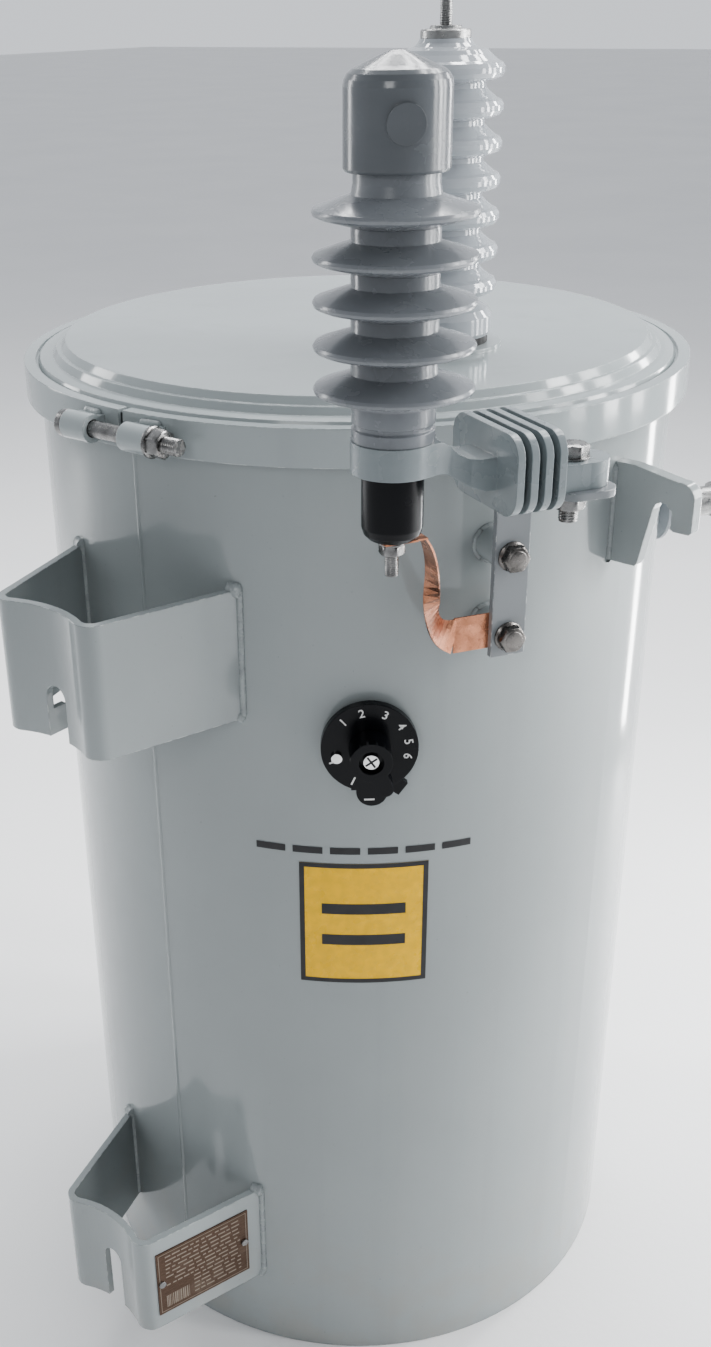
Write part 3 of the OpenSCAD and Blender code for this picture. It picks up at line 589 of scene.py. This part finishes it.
def clamp_welds():
    """Beads that hold the clamp's two barrels to the band, above and below."""
    low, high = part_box("clamp_barrels")
    band_r = -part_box("clamp_band")[0].y
    centre = (low + high) / 2
    shape = Shape()
    for inner, outer in ((low.x, low.x + BARREL_L), (high.x - BARREL_L, high.x)):
        for z in (centre.z + 8.5 * MM, centre.z - 8.5 * MM):
            ends = [Vector((x, -math.sqrt(band_r**2 - x * x) - 0.8 * MM, z))
                    for x in (inner + 3 * MM, outer - 3 * MM)]
            shape.bead(ends, 3 * MM, str(inner) + str(z))
    shape.make("weld_clamp", WELD)


def boss_welds():
    """Beads round the bracket's two bosses and the ground pad."""
    low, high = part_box("bracket_bosses")
    bead = 2.4 * MM
    ring_weld("weld_upper_boss", STRAP_AZ, high.z - BOSS_R, BOSS_R, bead)
    ring_weld("weld_lower_boss", STRAP_AZ, low.z + BOSS_R, BOSS_R, bead)
    pad = middle("ground_pad")
    ring_weld("weld_ground_pad", polar(pad.x, pad.y)[1], pad.z, GROUND_PAD_R, bead)


# ---------------------------------------------------------------- fasteners


def bracket_bolts():
    """Two flanged hexagon bolts with a dished head."""
    low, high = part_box("bracket_bolts")
    outer = max(polar(v.co.x, v.co.y)[0] for v in frame["nodes"]["bracket_bolts"].data.vertices)
    seat = outer - 10.4 * MM
    shape = Shape()
    for z in (low.z + FLANGE_R, high.z - FLANGE_R):
        place = at(STRAP_AZ, seat, z) @ UP_TO_OUT
        shape.turned(place, [(-22 * MM, BOLT_R), (0.5 * MM, BOLT_R)])
        shape.turned(place, [(0, 10.4 * MM), (0.4 * MM, FLANGE_R), (1.3 * MM, FLANGE_R),
                             (2 * MM, 10.2 * MM), (3 * MM, 9.2 * MM)])
        shape.nut(place, 2 * MM, 9.6 * MM, BOLT_FLATS)
        shape.turned(place, [(9 * MM, 6.4 * MM), (9.85 * MM, 6.4 * MM), (9.95 * MM, 6.1 * MM)])
    shape.make("bracket_bolts_finished", MATERIALS["bolt_steel"], replaced=["bracket_bolts"])


def arrester_bolt():
    """The bolt through tongue and leg, with washer, nut and a threaded end."""
    low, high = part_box("arrester_bolt")
    axis = middle("arrester_bolt")
    place = Matrix.Translation((axis.x, axis.y, 0))
    leg_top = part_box("arrester_bracket")[1].z
    nut_top = leg_top - 5 * MM
    shape = Shape()
    shape.thread(place, low.z, nut_top - 9 * MM, BOLT_R)
    shape.turned(place, [(nut_top - 11 * MM, 6 * MM), (high.z - 8 * MM, 6 * MM)])
    shape.nut(place, nut_top - 11 * MM, nut_top - 2 * MM, BOLT_FLATS)
    shape.turned(place, [(nut_top - 2 * MM, FLANGE_R), (nut_top, FLANGE_R)])
    shape.turned(place, [(high.z - 9 * MM, FLANGE_R), (high.z - 7.6 * MM, FLANGE_R)])
    shape.nut(place, high.z - 8 * MM, high.z, BOLT_FLATS)
    shape.make("arrester_bolt_finished", MATERIALS["bright_steel"], replaced=["arrester_bolt"])


def disconnector_stud():
    """The threaded stud under the disconnector, with a washer and its nut."""
    low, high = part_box("disconnector_stud")
    place = Matrix.Translation((ARRESTER_AXIS.x, ARRESTER_AXIS.y, 0))
    nut_top = high.z - 1.25 * MM
    shape = Shape()
    shape.thread(place, low.z, nut_top - 5 * MM, 4.3 * MM, 1.3 * MM)
    shape.turned(place, [(nut_top - 6 * MM, 4 * MM), (high.z, 4 * MM)])
    shape.nut(place, nut_top - 8 * MM, nut_top - 1.2 * MM, 14 * MM)
    shape.turned(place, [(nut_top - 1.2 * MM, 8.4 * MM), (nut_top, 8.4 * MM)])
    shape.make("disconnector_stud_finished", MATERIALS["bright_steel"],
               replaced=["disconnector_stud"])


def clamp_fasteners():
    """The clamp's round headed bolt, threaded past its nut, with a washer under the nut."""
    radius, azimuth = polar(*middle("clamp_nut")[:2])
    clamp_r = radius * math.cos(math.radians(azimuth - CLAMP_AZ))
    place = at(CLAMP_AZ, clamp_r, middle("clamp_bolt").z) @ UP_TO_SIDE
    side = at(CLAMP_AZ).col[1].to_3d()
    ends = [v.co.dot(side) for v in frame["nodes"]["clamp_bolt"].data.vertices]
    nut_ends = [v.co.dot(side) for v in frame["nodes"]["clamp_nut"].data.vertices]
    head, tip = min(ends), max(ends)
    seat, outer = min(nut_ends), max(nut_ends)
    bolt = Shape()
    bolt.turned(place, [(head, 8.5 * MM), (head + 1 * MM, 10 * MM), (head + 6 * MM, 10.5 * MM),
                        (head + 7 * MM, 10.5 * MM)])
    bolt.turned(place, [(head + 6 * MM, 6.2 * MM), (seat + 4 * MM, 6.2 * MM)])
    bolt.thread(place, seat + 2 * MM, tip, 6.4 * MM)
    bolt.make("clamp_bolt_finished", MATERIALS["bright_steel"], replaced=["clamp_bolt"])
    nut = Shape()
    nut.turned(place, [(seat, 11.1 * MM), (seat + 0.4 * MM, 11.5 * MM), (seat + 2.2 * MM, 11.5 * MM),
                       (seat + 2.5 * MM, 11.1 * MM)], 64)
    nut.nut(place, seat + 2.5 * MM, outer, 19 * MM)
    nut.make("clamp_nut_finished", MATERIALS["bright_steel"], replaced=["clamp_nut"])


def line_stud_thread():
    """A thread over the line stud."""
    low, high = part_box("hv_terminal_stud")
    place = Matrix.Translation((HV_AXIS.x, HV_AXIS.y, 0))
    shape = Shape()
    shape.thread(place, low.z + 0.5 * MM, high.z - 1 * MM, 4.7 * MM, 1.6 * MM, 24)
    shape.make("hv_stud_thread", MATERIALS["tinned_metal"])


# ---------------------------------------------------------------- tap changer's markings, and painted shade in its handle screw's slots


def dial_marks():
    """White digits and three ticks round the dial, and a dash on its lower lobe."""
    face = at(TAP_AZ, DIAL_FACE, TAP_Z)
    points, faces = [], []
    for text, angle in zip("123456", (132, 102, 67, 37, 10, -14)):
        letter = bpy.data.curves.new("digit", "FONT")
        letter.body = text
        letter.size = 9.5 * MM
        letter.extrude = 0.12 * MM
        letter.offset = 0.12 * MM
        letter.align_x = letter.align_y = "CENTER"
        holder = bpy.data.objects.new("digit", letter)
        bpy.context.scene.collection.objects.link(holder)
        mesh = bpy.data.meshes.new_from_object(holder)
        bpy.data.objects.remove(holder)
        turn = Matrix.Rotation(math.radians(angle - 90), 4, "X")
        to_face = Matrix(((0, 0, 1), (1, 0, 0), (0, 1, 0))).to_4x4()
        place = face @ turn @ Matrix.Translation((0, 0, DIAL_R * 0.8)) @ to_face
        base = len(points)
        points.extend(place @ v.co for v in mesh.vertices)
        faces.extend(tuple(base + i for i in p.vertices) for p in mesh.polygons)
    digits = Shape()
    digits.points, digits.faces = points, faces
    for angle, inner, outer in ((202, 24, 33), (246, 27, 34), (-62, 27, 34)):
        turn = face @ Matrix.Rotation(math.radians(angle), 4, "X")
        digits.box(turn, (0, inner * MM, -0.7 * MM), (0.15 * MM, outer * MM, 0.7 * MM))
    digits.box(face, (0, -4 * MM, -45 * MM), (0.15 * MM, 4 * MM, -43.6 * MM))
    digits.make("dial_marks", WHITE_INK, smooth_below=20)


def handle_marks():
    """Painted shade in the crossed slots of the handle's screw: black boxes just proud of its face, which
    turn with it.
    """
    front = max(polar(v.co.x, v.co.y)[0] for v in frame["nodes"]["tap_handle_screw"].data.vertices)
    face = math.sqrt(front**2 - (6 * MM) ** 2)
    place = at(TAP_AZ, face, TAP_Z) @ Matrix.Rotation(math.radians(35), 4, "X")
    slot = Shape()
    # Black boxes sunk in the screw head with their faces just proud: painted shade for the two slots.
    slot.box(place, (-0.6 * MM, -5.2 * MM, -0.8 * MM), (0.06 * MM, 5.2 * MM, 0.8 * MM))
    slot.box(place, (-0.6 * MM, -0.8 * MM, -5.2 * MM), (0.06 * MM, 0.8 * MM, 5.2 * MM))
    slot.make("handle_screw_slot_shade", BLACK_INK_AND_SLOT_SHADE, TURNING)


# ---------------------------------------------------------------- markings on the tank


def rectangle(u0, u1, v0, v1):
    """A decal outline between two runs along the wall and two heights, in millimetres."""
    return [(u0 * MM, v0 * MM), (u1 * MM, v0 * MM), (u1 * MM, v1 * MM), (u0 * MM, v1 * MM)]


def tank_marks():
    """A plain dashed line, and under it a plain yellow panel with a dark frame and two bars."""
    skin = TANK_R + DECAL_PROUD
    over = skin + DECAL_LAYER
    dash, step, count = 24, 30, 6
    start = -(step * (count - 1) + dash) / 2
    dashes = [rectangle(start + i * step, start + i * step + dash, -3, 3) for i in range(count)]
    decal("tank_dashes", PANEL_AZ, DASHES_Z, skin, dashes, BLACK_INK_AND_SLOT_SHADE)

    half_w, half_h, frame_w = 52, 58, 4
    decal("panel_ground", PANEL_AZ, PANEL_Z, skin, [rectangle(-half_w, half_w, -half_h, half_h)], YELLOW_INK)
    lines = [rectangle(-half_w, half_w, half_h - frame_w, half_h),
             rectangle(-half_w, half_w, -half_h, frame_w - half_h),
             rectangle(-half_w, frame_w - half_w, frame_w - half_h, half_h - frame_w),
             rectangle(half_w - frame_w, half_w, frame_w - half_h, half_h - frame_w),
             rectangle(-34, 34, 10, 20), rectangle(-34, 34, -20, -10)]
    decal("panel_lines", PANEL_AZ, PANEL_Z, over, lines, BLACK_INK_AND_SLOT_SHADE)


def nameplate_marks():
    """Etched frame, rows of plain marks, a small table and a block of upright bars."""
    low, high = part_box("lower_hanger")
    corner = Matrix.Translation((HANGER_HALF, low.y + HANGER_HORN, (low.z + high.z) / 2))
    place = corner @ Matrix.Rotation(-HANGER_SPLAY, 4, "Z") @ Matrix.Translation((HANGER_HORN, 0, 0))
    skin = (1 * MM, 1.12 * MM)
    length, half = 96, 37
    marks = Shape()

    def bar(y0, y1, z0, z1):
        marks.box(place, (skin[0], y0 * MM, z0 * MM), (skin[1], y1 * MM, z1 * MM))

    bar(3, length - 1, half - 2.8, half - 2.2)
    bar(3, length - 1, -half + 2.2, -half + 2.8)
    bar(3, 3.6, -half + 2.2, half - 2.2)
    bar(length - 1.6, length - 1, -half + 2.2, half - 2.2)
    rng = random.Random(7)
    for row in range(13):
        z = half - 7 - row * 4.9
        y = 10.0 if row < 8 else 38.0
        while y < length - 10:
            width = rng.uniform(3, 11)
            end = min(y + width, length - 8)
            if abs(z) > 4 or y > 12:
                bar(y, end, z - 0.75, z + 0.75)
            y = end + rng.uniform(1.2, 3.6)
    y = 9.0
    while y < 33:
        width = rng.choice((0.5, 0.9, 1.3))
        bar(y, y + width, -half + 6, -half + 20)
        y += width + rng.choice((0.6, 1.0))
    marks.make("nameplate_marks", ETCHED_MARK)


# ---------------------------------------------------------------- stage, lights and camera


def stage():
    """One wide plain floor, just under the tank's bottom."""
    reach = 30
    mesh = bpy.data.meshes.new("floor")
    corners = [(-reach, -reach), (reach, -reach), (reach, reach), (-reach, reach)]
    mesh.from_pydata([(x, y, -0.4 * MM) for x, y in corners], [], [(0, 1, 2, 3)])
    mesh.materials.append(pale_floor("floor"))
    floor = bpy.data.objects.new("floor", mesh)
    bpy.context.scene.collection.objects.link(floor)


def soft_light(name, azimuth, distance, z, size, power, aim_z=0.6):
    """A rectangular soft light round the tank, aimed at its axis."""
    light = bpy.data.lights.new(name, "AREA")
    light.shape = "RECTANGLE"
    light.size, light.size_y = size
    light.energy = power
    lamp = bpy.data.objects.new(name, light)
    lamp.location = at(azimuth, distance, z).translation
    lamp.rotation_euler = (Vector((0, 0, aim_z)) - lamp.location).to_track_quat("-Z", "Y").to_euler()
    lamp.visible_camera = False
    bpy.context.scene.collection.objects.link(lamp)


def lights():
    """A pale world, dimmer on the camera's side, and soft lights round and over the tank."""
    world = bpy.data.worlds.new("studio")
    world.use_nodes = True
    tree = world.node_tree
    shade = tree.nodes["Background"]
    side = tree.nodes.new("ShaderNodeVectorMath")
    side.operation = "DOT_PRODUCT"
    side.inputs[1].default_value = (0.607, -0.794, 0.0)
    tree.links.new(tree.nodes.new("ShaderNodeTexCoord").outputs["Generated"], side.inputs[0])
    ramp = tree.nodes.new("ShaderNodeMapRange")
    for socket, number in zip(ramp.inputs[1:5], (-0.6, 0.95, 0.82, 0.34)):
        socket.default_value = number
    tree.links.new(side.outputs["Value"], ramp.inputs["Value"])
    tree.links.new(ramp.outputs["Result"], shade.inputs["Strength"])
    shade.inputs["Color"].default_value = (0.88, 0.91, 0.96, 1)
    bpy.context.scene.world = world
    for i, (azimuth, power) in enumerate(((112, 22), (127, 46), (141, 26))):
        soft_light(f"window_right_{i}", azimuth, 2.6, 1.4, (0.34, 2.6), power)
    soft_light("window_left", -76, 2.8, 1.4, (0.5, 2.4), 26)
    soft_light("edge_strip", 158, 1.05, 0.8, (0.1, 1.5), 7)
    for i in range(3):
        soft_light(f"ceiling_{i}", 200, 0.7 + 0.7 * i, 3.0, (2.6, 0.22), 24, 0.9)
    soft_light("front", 20, 3.4, 2.4, (1.0, 1.0), 16)


def camera():
    """A camera where the reference view stands: heading, pitch and roll in degrees, lens in millimetres."""
    heading, pitch, roll = 40.437, 26.62, -1.298
    lens = bpy.data.cameras.new("camera")
    lens.lens, lens.sensor_width = 38.32, 36
    lens.shift_x, lens.shift_y = 0.0523, 0.0308
    lens.clip_start = 0.01
    eye = bpy.data.objects.new("camera", lens)
    h, p, r = (math.radians(x) for x in (heading, pitch, roll))
    forward = Vector((-math.sin(h) * math.cos(p), math.cos(h) * math.cos(p), -math.sin(p)))
    level = Vector((math.cos(h), math.sin(h), 0))
    upward = level.cross(forward)
    right = level * math.cos(r) + upward * math.sin(r)
    above = upward * math.cos(r) - level * math.sin(r)
    eye.matrix_world = Matrix((right, above, -forward)).transposed().to_4x4()
    eye.location = (0.7486, -0.9792, 1.1684)
    bpy.context.scene.collection.objects.link(eye)
    bpy.context.scene.camera = eye


bpy.context.scene.view_settings.look = "AgX - Medium High Contrast"
dress_cad()
hanger_welds()
lug_welds()
boss_welds()
seam_ridge()
clamp_welds()
bracket_bolts()
arrester_bolt()
disconnector_stud()
clamp_fasteners()
line_stud_thread()
dial_marks()
handle_marks()
tank_marks()
nameplate_marks()
stage()
lights()
camera()
